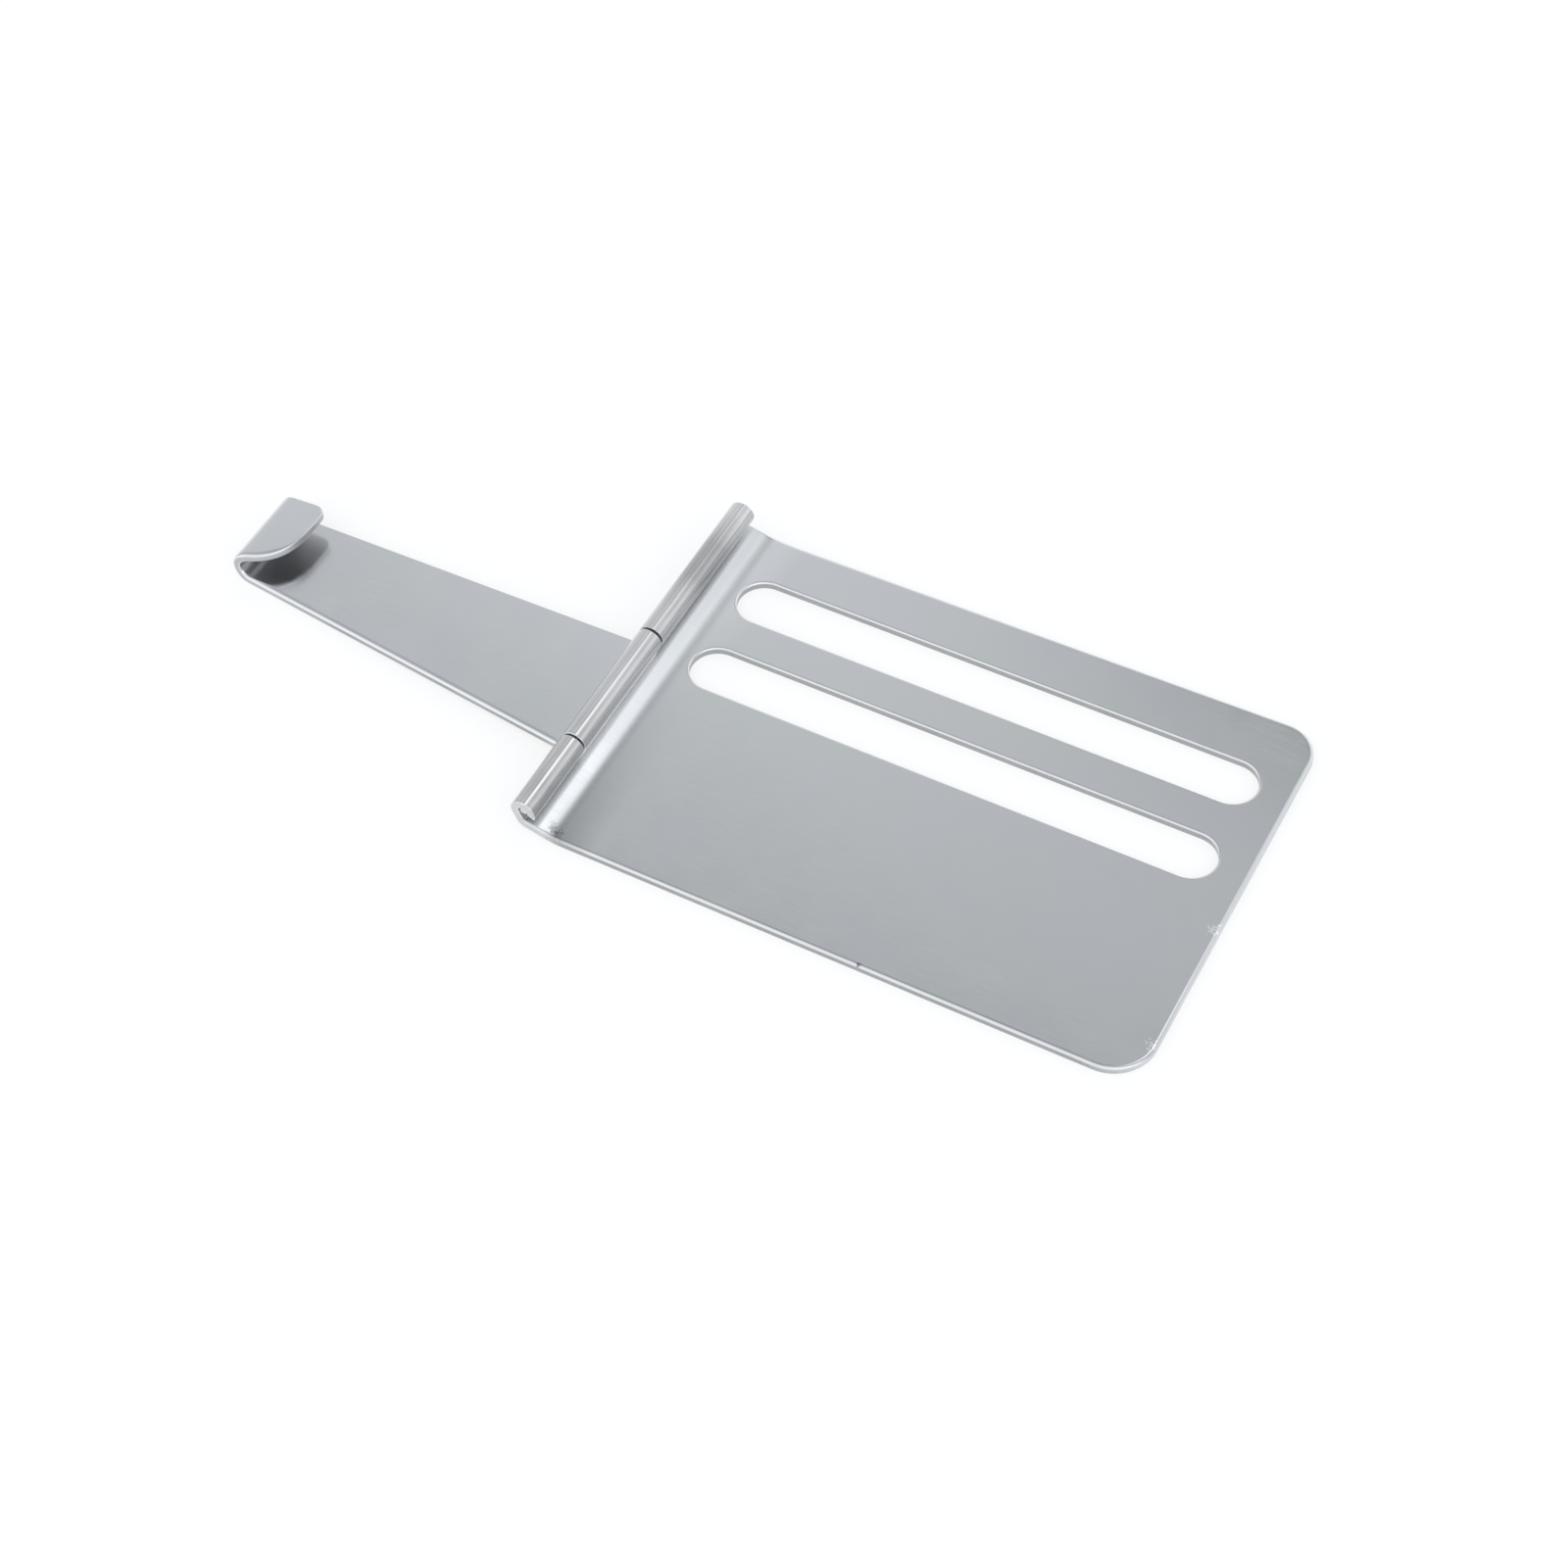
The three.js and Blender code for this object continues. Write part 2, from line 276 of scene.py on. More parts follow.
def edge_profile(inner, outer):
    """Rows round a sheet's edge as (offset into the sheet, height over its middle), from the arris of
    its inner and its outer side."""
    rows = [(inner[0] + EDGE_SUPPORT, HALF)]
    rows += [(offset, HALF - depth) for offset, depth in arris_rows(inner)]
    rows += [(offset, depth - HALF) for offset, depth in reversed(arris_rows(outer))]
    rows.append((outer[0] + EDGE_SUPPORT, -HALF))
    return np.array(rows)


def blend(value, start, stop, low, high):
    """Goes smoothly from low to high, a number or an arris, as value goes from start to stop."""
    share = max(0, min(1, (value - start) / (stop - start)))
    share = share * share * (3 - 2 * share)
    if isinstance(low, tuple):
        return tuple(a + (b - a) * share for a, b in zip(low, high))
    return low + (high - low) * share


def linked_object(name, data):
    made = bpy.data.objects.new(name, data)
    bpy.context.scene.collection.objects.link(made)
    return made


def smooth_piece(name, vertices, faces, kinds=None):
    mesh = bpy.data.meshes.new(name)
    mesh.from_pydata(vertices, [], faces)
    if kinds:
        mesh.polygons.foreach_set("material_index", kinds)
    mesh.polygons.foreach_set("use_smooth", [True] * len(faces))
    mesh.validate()
    mesh.update()
    return linked_object(name, mesh)


def bent_sheet(name, strip, side, loops, ties, arris_at, kind_at):
    """A sheet with rounded edges, drawn flat as loops of (s, y) and bent along its strip.

    Loops have the sheet at their left. Ties are pairs of the first loop's points, joined by an edge
    across the sheet, which is where it may bend. arris_at(s, y, loop number) gives the arris of the
    strip's inner and outer side there, and kind_at(s, whether it is the inner side) a face's
    material."""
    arrises = [arris_at(s, y, number) for number, loop in enumerate(loops) for s, y in loop]
    profiles = np.array([edge_profile(*pair) for pair in arrises])
    loops = [np.array(loop, float) for loop in loops]
    normals = np.concatenate([inward(loop) for loop in loops])
    outline = np.concatenate(loops)
    row_count = profiles.shape[1]
    starts = np.cumsum([0] + [len(loop) for loop in loops])
    ring = len(outline)
    vertices = []
    for row in range(row_count):
        places = outline + normals * profiles[:, row, :1]
        for (s, y), height in zip(places, profiles[:, row, 1]):
            u, z, heading = strip.at(s)
            vertices.append((
                (HINGE_X + side * (u - height * math.sin(heading))) * MM,
                y * MM,
                (z + height * math.cos(heading)) * MM,
            ))

    faces, kinds = [], []
    for row in range(row_count - 1):
        for start, stop in zip(starts[:-1], starts[1:]):
            for i in range(start, stop):
                j = i + 1 if i + 1 < stop else start
                low, high = row * ring, (row + 1) * ring
                faces.append((low + i, high + i, high + j, low + j))
                middle_s = (outline[i, 0] + outline[j, 0]) / 2
                kind = kind_at(middle_s, row <= ROUND_STEPS)
                # Walls get the sheared steel, whose darker colour is partly painted shade
                if row == ROUND_STEPS + 1:
                    kind = SHEARED_SHADED if middle_s > EDGE_SUPPORT else BARREL
                elif row > 0 and kind == INSIDE:
                    kind = FACE
                kinds.append(kind)

    last = (row_count - 1) * ring
    top = np.split(outline + normals * profiles[:, 0, :1], starts[1:-1])
    flat = [Vector(p) for loop in top for p in loop]
    edges = []
    for start, stop in zip(starts[:-1], starts[1:]):
        edges += [(i, i + 1 if i + 1 < stop else int(start)) for i in range(int(start), int(stop))]
    edges += ties
    out = delaunay_2d_cdt(flat, edges, [], 0, MERGE_DISTANCE)
    made, sources = out[0], out[3]
    if len(made) != len(flat):
        raise RuntimeError(f"{name}: an edge crosses another in its flat pattern")
    for triangle in out[2]:
        # Points in a row along the outline leave triangles of no area outside it
        if area_tri(*(made[i] for i in triangle)) < EMPTY_AREA:
            continue
        centre = sum((made[i] for i in triangle), Vector((0, 0))) / 3
        if not inside(centre, top[0]) or any(inside(centre, hole) for hole in top[1:]):
            continue
        a, b, c = (sources[i][0] for i in triangle)
        faces.append((a, b, c))
        faces.append((last + c, last + b, last + a))
        kinds += [kind_at(centre.x, True), kind_at(centre.x, False)]
    if side < 0:
        faces = [tuple(reversed(face)) for face in faces]
    return smooth_piece(name, vertices, faces, kinds)


def bend_stations(start, stop):
    count = max(1, math.ceil((stop - start) / (BEND_STEP * CURL_MIDDLE)))
    return list(np.linspace(start, stop, count + 1))


def run(points_s, y_of):
    return [(s, y_of(s)) for s in points_s]


class Outline:
    """A sheet's outer loop of (s, y), in which some runs of points have a name."""

    def __init__(self):
        self.points = []
        self.marks = {}

    def add(self, points, key=None):
        if key:
            self.marks[key] = len(self.points)
        self.points.extend(points)

    def tie(self, i, key, opposite, count):
        """Point i of a run, and the one across the sheet in a run of count points the other way."""
        return self.marks[key] + i, self.marks[opposite] + count - 1 - i


def build_plate():
    strip = curl_strip(PLATE_CURL_WRAP, PLATE_LEG_SLANT, PLATE_LEG_LENGTH)
    back = strip.length
    strip.bend(LOWER_BEND_RADIUS, math.pi / 2 - PLATE_LEG_SLANT - RAMP_ANGLE)
    ramp = strip.length
    fall = strip.end[1] - (RAMP_BEND_RADIUS + HALF) * (1 - math.cos(RAMP_ANGLE)) - HALF
    strip.flat(fall / math.sin(RAMP_ANGLE))
    ramp_end = strip.length
    ramp_u = strip.at(ramp)[0]
    strip.bend(RAMP_BEND_RADIUS, RAMP_ANGLE)
    level = strip.length
    level_x = HINGE_X + strip.end[0]
    strip.flat(END_X - level_x)
    end = strip.length

    def s_of(x):
        return level + x - level_x

    far_slope = (FAR_Y_AT_END - FAR_Y_AT_HINGE) / (END_X - HINGE_X)

    def far_y(s):
        """The far edge runs out a little towards the free end, and flares next to the hinge."""
        u = strip.at(s)[0] if s > back else 0
        flare = blend(u, *FAR_FLARE_FADE, FAR_EDGE_FLARE, 0)
        if s < ramp_end:
            flare = blend(s, back, ramp_end, FAR_KNUCKLE_FLARE, FAR_EDGE_FLARE)
        return FAR_Y_AT_HINGE + far_slope * u + flare

    notch = ramp + (NOTCH_REACH - ramp_u) / math.cos(RAMP_ANGLE)
    notch_near = ARM_NEAR_Y - KNUCKLE_GAP
    notch_far = ARM_FAR_Y + KNUCKLE_GAP
    wrap = curl_strip(PLATE_CURL_WRAP, PLATE_LEG_SLANT, 0).length
    curl = bend_stations(SHARP_CORNER + EDGE_SUPPORT, wrap) + bend_stations(back, ramp)

    def arris_at(s, y, loop_number):
        """The plate's upper edges are well rounded, those of its curls and its notch hardly."""
        if loop_number:
            return SLOT_ARRIS, UNDER_ARRIS
        if s < notch + NOTCH_SLACK and notch_near - NOTCH_SLACK < y < notch_far + NOTCH_SLACK:
            return UNDER_ARRIS, UNDER_ARRIS
        upper = blend(s, back, ramp + RAMP_ARRIS_EASE, SMALL_ARRIS, PLATE_ARRIS)
        return upper, blend(s, back, ramp, SMALL_ARRIS, UNDER_ARRIS)

    def kind_at(s, inner):
        if s > (ramp if inner else back):
            return FACE
        return INSIDE if inner else BARREL

    slot_tip = s_of(-SLOT_LENGTH / 2) - SLOT_ARRIS[0] - EDGE_SUPPORT
    rise = curl + list(np.linspace(ramp_end, slot_tip - EASING_TO_SLOT, EASING_STATIONS))

    far_start = (s_of(HINGE_X), FAR_Y_AT_HINGE)
    outline = Outline()
    add = outline.add
    add(rounded_corner((0, 0), (0, NEAR_Y), (ONWARD, NEAR_Y), SHARP_CORNER))
    add(run(rise, lambda s: NEAR_Y), "near")
    add(rounded_corner((0, NEAR_Y), (end, NEAR_Y), (end, 0), NEAR_CORNER_RADIUS, PLATE_CORNER_POINTS))
    add(rounded_corner((end, 0), (end, FAR_Y_AT_END), far_start, FAR_CORNER_RADIUS, PLATE_CORNER_POINTS))
    add(run([s_of(x) for x in FAR_FLARE_X], far_y))
    add(run(rise[::-1], far_y), "far")
    add(rounded_corner((ONWARD, far_y(0)), (0, far_y(0)), (0, 0), SHARP_CORNER))
    add(rounded_corner((0, far_y(0)), (0, notch_far), (ONWARD, notch_far), SHARP_CORNER))
    add(run(curl, lambda s: notch_far), "notch_far")
    add(rounded_corner((0, notch_far), (notch, notch_far), (notch, notch_near), NOTCH_FILLET))
    add(rounded_corner((notch, notch_far), (notch, notch_near), (0, notch_near), NOTCH_FILLET))
    add(run(curl[::-1], lambda s: notch_near), "notch_near")
    add(rounded_corner((ONWARD, notch_near), (0, notch_near), (0, NEAR_Y), SHARP_CORNER))

    ties = []
    for i in range(len(curl)):
        ties.append(outline.tie(i, "near", "notch_near", len(curl)))
        ties.append(outline.tie(i, "notch_far", "far", len(rise)))
    for i in range(len(curl), len(rise)):
        ties.append(outline.tie(i, "near", "far", len(rise)))

    loops = [outline.points]
    radius = SLOT_WIDTH / 2
    reach = SLOT_LENGTH / 2 - radius
    for y in (SLOT_PITCH / 2, -SLOT_PITCH / 2):
        right = arc_points(s_of(reach), y, radius, math.pi / 2, -math.pi / 2, SLOT_END_POINTS)
        left = arc_points(s_of(-reach), y, radius, -math.pi / 2, -3 * math.pi / 2, SLOT_END_POINTS)
        loops.append(right + left)
    return bent_sheet("plate_sheet", strip, 1, loops, ties, arris_at, kind_at)


def arm_near_edge(x):
    share = (x - ARM_ROOT_X) / (TIP_X - ARM_ROOT_X)
    return ARM_NEAR_Y + share * (ARM_FAR_Y - ARM_TIP_WIDTH - ARM_NEAR_Y)


def build_arm():
    strip = curl_strip(ARM_CURL_WRAP, ARM_LEG_SLANT, ARM_LEG_LENGTH)
    back = strip.length
    bend = LOWER_BEND_RADIUS + HALF
    hook = HOOK_BEND_RADIUS + HALF
    between = Vector((ARM_LENGTH - HOOK_OUTSIDE, HOOK_OUTSIDE))
    between -= lower_bend_centre(ARM_LEG_SLANT, ARM_LEG_LENGTH)
    swing = math.asin((hook - bend) / between.length)
    angle = math.atan2(between.y, between.x) - swing
    strip.bend(LOWER_BEND_RADIUS, math.pi / 2 - ARM_LEG_SLANT + angle)
    leg = strip.length
    strip.flat(between.length * math.cos(swing))
    fold = strip.length
    strip.bend(HOOK_BEND_RADIUS, math.pi - FLAP_RISE - angle)
    flap = strip.length
    tip = fold + hook * (math.pi / 2 - angle)
    flap_x = HINGE_X - strip.end[0]
    free_x = TIP_X + FLAP_LENGTH
    strip.flat((free_x - flap_x) / math.cos(FLAP_RISE))
    end = strip.length

    root = leg + (HINGE_X - ARM_ROOT_X - strip.at(leg)[0]) / math.cos(angle)
    wrap = curl_strip(ARM_CURL_WRAP, ARM_LEG_SLANT, 0).length
    curl = bend_stations(SHARP_CORNER + EDGE_SUPPORT, wrap) + bend_stations(back, leg)
    turn = list(np.linspace(fold, flap, FOLD_STATIONS))

    def arris_at(s, y, loop_number):
        """The upper edges of the arm and its flap are well rounded at the near side, the others
        hardly. Past the fold the strip's outer side is the upper one."""
        if y > ARM_FAR_Y - FLAP_CORNER_RADIUS - CORNER_SLACK:
            return SMALL_ARRIS, SMALL_ARRIS
        inner = blend(s, root, root + ARM_ARRIS_EASE, SMALL_ARRIS, ARM_ARRIS)
        if s > fold:
            inner = blend(s, fold, tip, ARM_ARRIS, SMALL_ARRIS)
        outer = blend(s, fold, tip, SMALL_ARRIS, ARM_ARRIS)
        return inner, blend(s, end - FLAP_ARRIS_EASE, end, outer, SMALL_ARRIS)

    def kind_at(s, inner):
        if inner:
            return INSIDE if s < leg or s > fold else FACE
        return BARREL if s < back else FACE

    # The flap's sweep, from the far side of the fold to the free edge
    near_tip = arm_near_edge(TIP_X)
    pull = FLAP_LENGTH * FLAP_SWEEP_FULLNESS
    sweep_y = near_tip + FLAP_SWEEP_WIDTH
    knots = [
        Vector((TIP_X, near_tip)),
        Vector((TIP_X + pull, 2 * near_tip - arm_near_edge(TIP_X + pull))),
        Vector((free_x, sweep_y - FLAP_SWEEP_WIDTH * FLAP_SWEEP_FULLNESS)),
        Vector((free_x, sweep_y)),
    ]

    def sweep(t):
        weights = ((1 - t) ** 3, 3 * t * (1 - t) ** 2, 3 * t * t * (1 - t), t ** 3)
        return sum((k * w for k, w in zip(knots, weights)), Vector((0, 0)))

    def sweep_y_at(x):
        low, high = 0.0, 1.0
        for _ in range(SWEEP_HALVINGS):
            middle = (low + high) / 2
            if sweep(middle).x < x:
                low = middle
            else:
                high = middle
        return sweep((low + high) / 2).y

    fold_x = TIP_X + HOOK_OUTSIDE

    def fold_near_y(s):
        """The near edge round the fold, read on the fold's outside."""
        middle_x = HINGE_X - strip.at(s)[0]
        x = fold_x - (fold_x - middle_x) * HOOK_OUTSIDE / hook
        return arm_near_edge(x) if s <= tip else sweep_y_at(x)

    sweep_points = []
    for t in np.linspace(0, 1, SWEEP_POINTS):
        p = sweep(t)
        if p.x > flap_x + SWEEP_TO_FOLD:
            sweep_points.append((flap + (p.x - flap_x) / math.cos(FLAP_RISE), p.y))

    free_corner = ((end, ARM_NEAR_Y), (end, ARM_FAR_Y), (0, ARM_FAR_Y))
    outline = Outline()
    add = outline.add
    add(rounded_corner((0, 0), (0, ARM_NEAR_Y), (ONWARD, ARM_NEAR_Y), SHARP_CORNER))
    add(run(curl, lambda s: ARM_NEAR_Y), "near")
    add([(root, ARM_NEAR_Y)])
    add([(root + step, arm_near_edge(ARM_ROOT_X - step) - ARM_ROOT_FLARE) for step in ARM_FLARE_STEPS])
    add(run(turn, fold_near_y), "turn_near")
    add(sweep_points)
    add(rounded_corner(*free_corner, FLAP_CORNER_RADIUS, FLAP_CORNER_POINTS))
    add(run(turn[::-1], lambda s: ARM_FAR_Y), "turn_far")
    add(run(curl[::-1], lambda s: ARM_FAR_Y), "far")
    add(rounded_corner((ONWARD, ARM_FAR_Y), (0, ARM_FAR_Y), (0, ARM_NEAR_Y), SHARP_CORNER))

    ties = [outline.tie(i, "near", "far", len(curl)) for i in range(len(curl))]
    ties += [outline.tie(i, "turn_near", "turn_far", len(turn)) for i in range(len(turn))]
    return bent_sheet("arm_sheet", strip, -1, [outline.points], ties, arris_at, kind_at)


def build_pin():
    """A cut wire pin: its ends are slightly domed with a broken edge."""
    radius = PIN_DIAMETER / 2
    near, far = NEAR_Y + PIN_INSET, FAR_Y_AT_HINGE - PIN_INSET
    rows = [(radius * share, near + depth) for share, depth in PIN_END]
    rows += [(radius * share, far - depth) for share, depth in reversed(PIN_END)]
    vertices = [(HINGE_X * MM, near * MM, HINGE_HEIGHT * MM)]
    for r, y in rows:
        for k in range(PIN_SIDES):
            a = 2 * math.pi * k / PIN_SIDES
            vertices.append((
                (HINGE_X + r * math.cos(a)) * MM,
                y * MM,
                (HINGE_HEIGHT + r * math.sin(a)) * MM,
            ))
    vertices.append((HINGE_X * MM, far * MM, HINGE_HEIGHT * MM))
    faces = [(0, 1 + k, 1 + (k + 1) % PIN_SIDES) for k in range(PIN_SIDES)]
    for row in range(len(rows) - 1):
        low, high = 1 + row * PIN_SIDES, 1 + (row + 1) * PIN_SIDES
        for k in range(PIN_SIDES):
            n = (k + 1) % PIN_SIDES
            faces.append((low + k, high + k, high + n, low + n))
    top, tip = 1 + (len(rows) - 1) * PIN_SIDES, len(vertices) - 1
    faces += [(tip, top + (k + 1) % PIN_SIDES, top + k) for k in range(PIN_SIDES)]
    return smooth_piece("pin_wire", vertices, faces)


# Scales of the steel's noises, the part of a noise's values that is used, and the parts of its tone
# and of its clouds that become colour
CLOUD_SCALE = 70
PATCH_SCALE = 260
SPOT_SCALE = 3500
SPECK_SCALE = 5200
BARREL_GRAIN_SCALE = 7500
GRAIN_SCALE = 9000
NOISE_RANGE = (0.3, 0.7)
TONE_RANGE = (0.36, 0.64)
CLOUD_RANGE = (0.42, 0.62)
# Shares of patches and grain in the tone, of the clouds' tint, and of specks in the bumps
PATCH_SHARE, GRAIN_SHARE = 0.4, 0.6
TINT_SHARE = 0.6
SPECK_SHARE = 0.4
# Change of roughness, either way, with the grain and with the patches
GRAIN_ROUGHNESS = 0.03
PATCH_ROUGHNESS = 0.02


class Nodes:
    """Short helper for a material's or the world's node tree."""

    def __init__(self, tree):
        self.tree = tree
        tree.nodes.clear()

    def add(self, kind, **values):
        node = self.tree.nodes.new(kind)
        for key, value in values.items():
            setattr(node, key, value)
        return node

    def link(self, source, target):
        self.tree.links.new(source, target)

    def math(self, operation, *inputs):
        node = self.add("ShaderNodeMath", operation=operation)
        for i, value in enumerate(inputs):
            if isinstance(value, (int, float)):
                node.inputs[i].default_value = value
            else:
                self.link(value, node.inputs[i])
        return node.outputs[0]

    def spread(self, value, low, high, to_low, to_high):
        node = self.add("ShaderNodeMapRange")
        self.link(value, node.inputs["Value"])
        limits = {"From Min": low, "From Max": high, "To Min": to_low, "To Max": to_high}
        for key, number in limits.items():
            node.inputs[key].default_value = number
        return node.outputs["Result"]

    def profile(self, place, rows, unit=DEGREE):
        """Follows rows of (place in units, value) by straight lines, level beyond the first and last."""
        total = rows[0][1]
        for (low, from_value), (high, to_value) in zip(rows, rows[1:]):
            if from_value != to_value:
                step = self.spread(place, low * unit, high * unit, 0, to_value - from_value)
                total = self.math("ADD", step, total)
        return total

    def axes(self, vector):
        node = self.add("ShaderNodeSeparateXYZ")
        self.link(vector, node.inputs[0])
        return node.outputs

    def spots(self, place, rows):
        """Sum of small uneven spots, as rows of (x, y, radius, amount) in mm."""
        flat = self.stretched(place, (1, 1, 0))
        rough = self.noise(place, SPOT_SCALE, 2)
        total = 0.0
        for x, y, radius, amount in rows:
            node = self.add("ShaderNodeVectorMath", operation="DISTANCE")
            self.link(flat, node.inputs[0])
            node.inputs[1].default_value = (x * MM, y * MM, 0)
            reach = radius * MM
            uneven = self.spread(rough, *NOISE_RANGE, -reach, reach)
            away = self.math("ADD", node.outputs["Value"], uneven)
            total = self.math("ADD", self.spread(away, reach / 2, reach, amount, 0), total)
        return total

    def dimmed(self, colour, factor):
        node = self.add("ShaderNodeVectorMath", operation="SCALE")
        self.link(colour, node.inputs[0])
        self.link(factor, node.inputs["Scale"])
        return node.outputs[0]

    def noise(self, place, scale, detail, roughness=0.5):
        node = self.add("ShaderNodeTexNoise")
        self.link(place, node.inputs["Vector"])
        node.inputs["Scale"].default_value = scale
        node.inputs["Detail"].default_value = detail
        node.inputs["Roughness"].default_value = roughness
        return node.outputs["Fac"]

    def mix(self, share, first, second):
        node = self.add("ShaderNodeMix", data_type="RGBA")
        self.link(share, node.inputs[0])
        for i, colour in ((6, first), (7, second)):
            if isinstance(colour, tuple):
                node.inputs[i].default_value = (*colour, 1)
            else:
                self.link(colour, node.inputs[i])
        return node.outputs[2]

    def stretched(self, place, scale):
        node = self.add("ShaderNodeVectorMath", operation="MULTIPLY")
        self.link(place, node.inputs[0])
        node.inputs[1].default_value = scale
        return node.outputs[0]


def steel(name, light, dark, tint, rough, grain_height, grain_scaling, grain_scale=GRAIN_SCALE,
          dimming=None, roughening=()):
    """Steel with clouds of tint, a fine grain and small specks. grain_scaling makes the grain long
    along the axes where it is small, dimming(nodes, place) may give a factor for the colour, and
    roughening has rows of (x in mm, roughness to add)."""
    material = bpy.data.materials.new(name)
    material.use_nodes = True
    n = Nodes(material.node_tree)
    place = n.add("ShaderNodeTexCoord").outputs["Object"]
    cloud = n.noise(place, CLOUD_SCALE, 2)
    patch = n.noise(place, PATCH_SCALE, 3)
    grain = n.noise(n.stretched(place, grain_scaling), grain_scale, 3, 0.55)
    speck = n.noise(place, SPECK_SCALE, 2, 0.6)
    tone = n.math("ADD", n.math("MULTIPLY", patch, PATCH_SHARE), n.math("MULTIPLY", grain, GRAIN_SHARE))
    colour = n.mix(n.spread(tone, *TONE_RANGE, 0, 1), dark, light)
    colour = n.mix(n.spread(cloud, *CLOUD_RANGE, 0, TINT_SHARE), colour, tint)
    if dimming:
        colour = n.dimmed(colour, dimming(n, place))
    grain_part = n.spread(grain, *NOISE_RANGE, rough - GRAIN_ROUGHNESS, rough + GRAIN_ROUGHNESS)
    patch_part = n.spread(patch, *NOISE_RANGE, -PATCH_ROUGHNESS, PATCH_ROUGHNESS)
    roughness = n.math("ADD", grain_part, patch_part)
    if roughening:
        roughness = n.math("ADD", roughness, n.profile(n.axes(place)["X"], roughening, MM))
    shader = n.add("ShaderNodeBsdfPrincipled")
    shader.inputs["Metallic"].default_value = 1
    n.link(colour, shader.inputs["Base Color"])
    n.link(roughness, shader.inputs["Roughness"])
    bump = n.add("ShaderNodeBump")
    bump.inputs["Distance"].default_value = grain_height * MM
    n.link(n.math("ADD", grain, n.math("MULTIPLY", speck, SPECK_SHARE)), bump.inputs["Height"])
    n.link(bump.outputs["Normal"], shader.inputs["Normal"])
    out = n.add("ShaderNodeOutputMaterial")
    n.link(shader.outputs[0], out.inputs["Surface"])
    return material


# Factors of the steel's colour, as rows of (place, factor): along the hinge in mm, a stain on the far
# knuckle; round the barrel in degrees from straight up towards +X, a painted highlight on its top,
# painted shade on its lower side towards +X and painted light on its underside; and along the sheared
# edges in mm, painted light on the end wall, on the walls by the hinge and at the arm's tip.
BARREL_ALONG = [(-6, 1.0), (-3, 0.96), (0, 0.86), (2, 0.68), (6.5, 0.7), (8.5, 0.9), (11, 1.0)]
BARREL_PAINTED_LIGHT_ROUND = [
    (-60, 1.0), (-20, 1.0), (-8, 0.94), (0, 1.2), (12, 1.25), (20, 1.0), (52, 1.0), (62, 0.85),
    (72, 0.75), (90, 0.8), (108, 1.3),
]
SHEARED_PAINTED_LIGHT_ALONG = [
    (-66, 1.25), (-58, 1.0), (-33, 1.0), (-31, 1.6), (-28, 1.6), (-26, 1.0), (24, 1.0), (28.5, 1.6),
]
# Painted shade and light on the plate next to its ramp: the share by place along the plate, and the
# change of the colour's factor by place along the hinge, darker towards the near end and lighter towards
# the far end
BESIDE_RAMP = [(-27.9, 0.0), (-27, 1.0), (-26, 1.0), (-23, 0.0)]
PAINTED_SHADING_BESIDE_RAMP = [(-28, -0.3), (-22, -0.16), (-17, -0.09), (-8, 0.0), (2, 0.1), (8, 0.13)]
# Tool marks beside the barrel blur what the sheet mirrors there
BESIDE_BARREL = [(-30.2, 0.0), (-29.9, 0.32), (-28.7, 0.32), (-28.35, 0.0)]
# Nicks and scuffs as (x, y, radius, change of the colour's factor)
FACE_SPOTS = [
    (28.5, -11.1, 0.5, 0.3), (28.55, -24.15, 0.5, 0.3), (3.2, -28.0, 0.22, -0.6),
    (-27.5, -27.1, 0.5, -0.1), (-27.3, -27.4, 0.45, -0.13), (-27.0, -27.3, 0.5, -0.1),
    (-26.7, -27.6, 0.45, -0.13),
]


# The far knuckle's stain along the hinge, times the painted highlight and shade round the barrel
def barrel_stain_and_painted_light(n, place):
    axes = n.axes(place)
    turn = n.math("ARCTAN2", n.math("SUBTRACT", axes["X"], HINGE_X * MM),
                  n.math("SUBTRACT", axes["Z"], HINGE_HEIGHT * MM))
    return n.math("MULTIPLY", n.profile(axes["Y"], BARREL_ALONG, MM), n.profile(turn, BARREL_PAINTED_LIGHT_ROUND))


# Painted light on the sheared walls: brighter on the end wall, on the walls by the hinge and at the
# arm's tip
def sheared_painted_light(n, place):
    return n.profile(n.axes(place)["X"], SHEARED_PAINTED_LIGHT_ALONG, MM)


# Painted shading on the plate beside its ramp, plus the nicks and scuffs
def face_painted_shading_and_spots(n, place):
    axes = n.axes(place)
    painted_shading_beside = n.math("MULTIPLY", n.profile(axes["X"], BESIDE_RAMP, MM),
                    n.profile(axes["Y"], PAINTED_SHADING_BESIDE_RAMP, MM))
    return n.math("ADD", n.math("ADD", painted_shading_beside, n.spots(place, FACE_SPOTS)), 1.0)


ACROSS_HINGE = (0.07, 1.0, 0.07)
ALONG_HINGE = (1.0, 0.045, 1.0)
face_steel = steel("satin_face", (0.735, 0.745, 0.75), (0.685, 0.71, 0.715), (0.71, 0.71, 0.74),
                   0.19, 0.0002, ACROSS_HINGE, GRAIN_SCALE, face_painted_shading_and_spots, BESIDE_BARREL)
